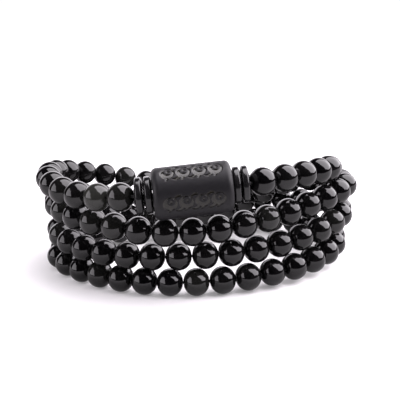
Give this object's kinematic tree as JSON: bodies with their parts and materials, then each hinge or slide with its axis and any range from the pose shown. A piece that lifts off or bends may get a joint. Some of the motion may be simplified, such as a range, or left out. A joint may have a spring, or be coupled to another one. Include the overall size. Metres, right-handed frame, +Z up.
{
  "type": "mala prayer beads",
  "caption": "Long elastic string of polished black round beads wound into a standing coil, with a carved barrel bead held between thin discs.",
  "frame": {"origin": "centre of the coil's box seen from above, on the surface that the lowest turn rests on", "axes": "+X to the right with the barrel bead at the front, +Y to the back, +Z up through the coil"},
  "size_m": [0.0822, 0.0642, 0.0319],
  "materials": {
    "polished_stone": "polished",
    "matt_stone": "matt",
    "glossy_disc": "glossy metallic grey",
    "elastic": "satin"
  },
  "bodies": {
    "root": {"elastic_cord": "elastic", "cord_knot": "elastic", "beads_019_022": "polished_stone", "beads_023_026": "polished_stone", "beads_027_030": "polished_stone", "beads_031_034": "polished_stone", "beads_035_038": "polished_stone", "beads_039_042": "polished_stone", "beads_043_046": "polished_stone", "beads_047_050": "polished_stone", "beads_051_054": "polished_stone", "beads_055_058": "polished_stone", "beads_059_062": "polished_stone", "beads_063_066": "polished_stone", "beads_067_070": "polished_stone", "beads_071_074": "polished_stone", "beads_075_078": "polished_stone", "beads_079_082": "polished_stone", "beads_083_086": "polished_stone", "beads_087_090": "polished_stone", "beads_091_094": "polished_stone", "beads_095_098": "polished_stone", "beads_099_102": "polished_stone", "beads_103_106": "polished_stone", "beads_107_110": "polished_stone", "beads_111_114": "polished_stone"},
    "barrel": {"barrel_bead": "matt_stone"},
    "left_inner_disc": {"disc_left_inner": "glossy_disc"},
    "left_outer_disc": {"disc_left_outer": "glossy_disc"},
    "right_outer_disc": {"disc_right_outer": "glossy_disc"},
    "right_inner_disc": {"disc_right_inner": "glossy_disc"},
    "round_001": {"bead_001": "polished_stone"},
    "round_002": {"bead_002": "polished_stone"},
    "round_003": {"bead_003": "polished_stone"},
    "round_004": {"bead_004": "polished_stone"},
    "round_005": {"bead_005": "polished_stone"},
    "round_006": {"bead_006": "polished_stone"},
    "round_007": {"bead_007": "polished_stone"},
    "round_008": {"bead_008": "polished_stone"},
    "round_009": {"bead_009": "polished_stone"},
    "round_010": {"bead_010": "polished_stone"},
    "round_011": {"bead_011": "polished_stone"},
    "round_012": {"bead_012": "polished_stone"},
    "round_013": {"bead_013": "polished_stone"},
    "round_014": {"bead_014": "polished_stone"},
    "round_015": {"bead_015": "polished_stone"},
    "round_016": {"bead_016": "polished_stone"},
    "round_017": {"bead_017": "polished_stone"},
    "round_018": {"bead_018": "polished_stone"},
    "round_115": {"bead_115": "polished_stone"},
    "round_116": {"bead_116": "polished_stone"},
    "round_117": {"bead_117": "polished_stone"},
    "round_118": {"bead_118": "polished_stone"},
    "round_119": {"bead_119": "polished_stone"},
    "round_120": {"bead_120": "polished_stone"},
    "round_121": {"bead_121": "polished_stone"},
    "round_122": {"bead_122": "polished_stone"},
    "round_123": {"bead_123": "polished_stone"},
    "round_124": {"bead_124": "polished_stone"}
  },
  "joints": [
    {"name": "barrel_spin", "type": "hinge", "parent": "root", "child": "barrel", "pos_m": [-0.00119, -0.02583, 0.02579], "axis": [-0.9944, -0.0841, -0.064], "continuous": true},
    {"name": "left_inner_disc_spin", "type": "hinge", "parent": "root", "child": "left_inner_disc", "pos_m": [-0.01065, -0.02643, 0.02514], "axis": [-0.9944, -0.0841, -0.064], "continuous": true},
    {"name": "left_outer_disc_spin", "type": "hinge", "parent": "root", "child": "left_outer_disc", "pos_m": [-0.01266, -0.02602, 0.02492], "axis": [-0.9963, -0.0581, -0.064], "continuous": true},
    {"name": "right_outer_disc_spin", "type": "hinge", "parent": "root", "child": "right_outer_disc", "pos_m": [0.01025, -0.02415, 0.0264], "axis": [-0.9974, -0.032, -0.064], "continuous": true},
    {"name": "right_inner_disc_spin", "type": "hinge", "parent": "root", "child": "right_inner_disc", "pos_m": [0.00839, -0.0248, 0.02637], "axis": [-0.9974, -0.032, -0.064], "continuous": true},
    {"name": "round_001_spin", "type": "hinge", "parent": "root", "child": "round_001", "pos_m": [-0.0169, -0.02464, 0.02442], "axis": [-0.9328, 0.343, -0.1109], "continuous": true},
    {"name": "round_002_spin", "type": "hinge", "parent": "root", "child": "round_002", "pos_m": [-0.02237, -0.02207, 0.02384], "axis": [-0.862, 0.5006, -0.0797], "continuous": true},
    {"name": "round_003_spin", "type": "hinge", "parent": "root", "child": "round_003", "pos_m": [-0.02732, -0.01856, 0.02353], "axis": [-0.7597, 0.6499, -0.022], "continuous": true},
    {"name": "round_004_spin", "type": "hinge", "parent": "root", "child": "round_004", "pos_m": [-0.03153, -0.01417, 0.02355], "axis": [-0.6193, 0.7846, 0.0295], "continuous": true},
    {"name": "round_005_spin", "type": "hinge", "parent": "root", "child": "round_005", "pos_m": [-0.03479, -0.00904, 0.02377], "axis": [-0.4459, 0.8942, 0.0395], "continuous": true},
    {"name": "round_006_spin", "type": "hinge", "parent": "root", "child": "round_006", "pos_m": [-0.03692, -0.00334, 0.02386], "axis": [-0.2501, 0.9682, -0.0074], "continuous": true},
    {"name": "round_007_spin", "type": "hinge", "parent": "root", "child": "round_007", "pos_m": [-0.03785, 0.00267, 0.02356], "axis": [-0.0565, 0.9942, -0.0918], "continuous": true},
    {"name": "round_008_spin", "type": "hinge", "parent": "root", "child": "round_008", "pos_m": [-0.03748, 0.0087, 0.02272], "axis": [0.1765, 0.9677, -0.18], "continuous": true},
    {"name": "round_009_spin", "type": "hinge", "parent": "root", "child": "round_009", "pos_m": [-0.03548, 0.01433, 0.02142], "axis": [0.4696, 0.8493, -0.2411], "continuous": true},
    {"name": "round_010_spin", "type": "hinge", "parent": "root", "child": "round_010", "pos_m": [-0.03171, 0.01889, 0.01988], "axis": [0.7434, 0.6186, -0.2542], "continuous": true},
    {"name": "round_011_spin", "type": "hinge", "parent": "root", "child": "round_011", "pos_m": [-0.02666, 0.02196, 0.01833], "axis": [0.8938, 0.3745, -0.2468], "continuous": true},
    {"name": "round_012_spin", "type": "hinge", "parent": "root", "child": "round_012", "pos_m": [-0.02103, 0.0237, 0.01681], "axis": [0.9481, 0.1942, -0.252], "continuous": true},
    {"name": "round_013_spin", "type": "hinge", "parent": "root", "child": "round_013", "pos_m": [-0.01525, 0.02454, 0.01523], "axis": [0.9598, 0.0831, -0.2681], "continuous": true},
    {"name": "round_014_spin", "type": "hinge", "parent": "root", "child": "round_014", "pos_m": [-0.00941, 0.02486, 0.0137], "axis": [0.9712, 0.0238, -0.2372], "continuous": true},
    {"name": "round_015_spin", "type": "hinge", "parent": "root", "child": "round_015", "pos_m": [-0.00345, 0.02492, 0.01263], "axis": [0.9933, -0.0044, -0.1155], "continuous": true},
    {"name": "round_016_spin", "type": "hinge", "parent": "root", "child": "round_016", "pos_m": [0.00259, 0.0248, 0.01233], "axis": [0.9993, -0.0353, 0.0153], "continuous": true},
    {"name": "round_017_spin", "type": "hinge", "parent": "root", "child": "round_017", "pos_m": [0.00862, 0.02443, 0.01263], "axis": [0.9926, -0.0875, 0.0847], "continuous": true},
    {"name": "round_018_spin", "type": "hinge", "parent": "root", "child": "round_018", "pos_m": [0.01458, 0.02368, 0.01327], "axis": [0.9788, -0.1612, 0.1263], "continuous": true},
    {"name": "round_115_spin", "type": "hinge", "parent": "root", "child": "round_115", "pos_m": [0.01787, 0.01394, 0.01416], "axis": [0.8671, -0.2177, 0.448], "continuous": true},
    {"name": "round_116_spin", "type": "hinge", "parent": "root", "child": "round_116", "pos_m": [0.02307, 0.01225, 0.01679], "axis": [0.8438, -0.3384, 0.4164], "continuous": true},
    {"name": "round_117_spin", "type": "hinge", "parent": "root", "child": "round_117", "pos_m": [0.02795, 0.00957, 0.01928], "axis": [0.7466, -0.5339, 0.3968], "continuous": true},
    {"name": "round_118_spin", "type": "hinge", "parent": "root", "child": "round_118", "pos_m": [0.03178, 0.00539, 0.02164], "axis": [0.4827, -0.7988, 0.359], "continuous": true},
    {"name": "round_119_spin", "type": "hinge", "parent": "root", "child": "round_119", "pos_m": [0.03319, -0.00022, 0.0236], "axis": [-0.037, -0.9659, 0.2561], "continuous": true},
    {"name": "round_120_spin", "type": "hinge", "parent": "root", "child": "round_120", "pos_m": [0.03171, -0.00605, 0.02486], "axis": [-0.4403, -0.8863, 0.1437], "continuous": true},
    {"name": "round_121_spin", "type": "hinge", "parent": "root", "child": "round_121", "pos_m": [0.02844, -0.01117, 0.02556], "axis": [-0.6219, -0.7786, 0.0836], "continuous": true},
    {"name": "round_122_spin", "type": "hinge", "parent": "root", "child": "round_122", "pos_m": [0.02428, -0.01558, 0.02598], "axis": [-0.7429, -0.6673, 0.0529], "continuous": true},
    {"name": "round_123_spin", "type": "hinge", "parent": "root", "child": "round_123", "pos_m": [0.0195, -0.01929, 0.02624], "axis": [-0.8315, -0.5545, 0.0335], "continuous": true},
    {"name": "round_124_spin", "type": "hinge", "parent": "root", "child": "round_124", "pos_m": [0.01425, -0.02231, 0.02638], "axis": [-0.8976, -0.4407, 0.0119], "continuous": true}
  ]
}
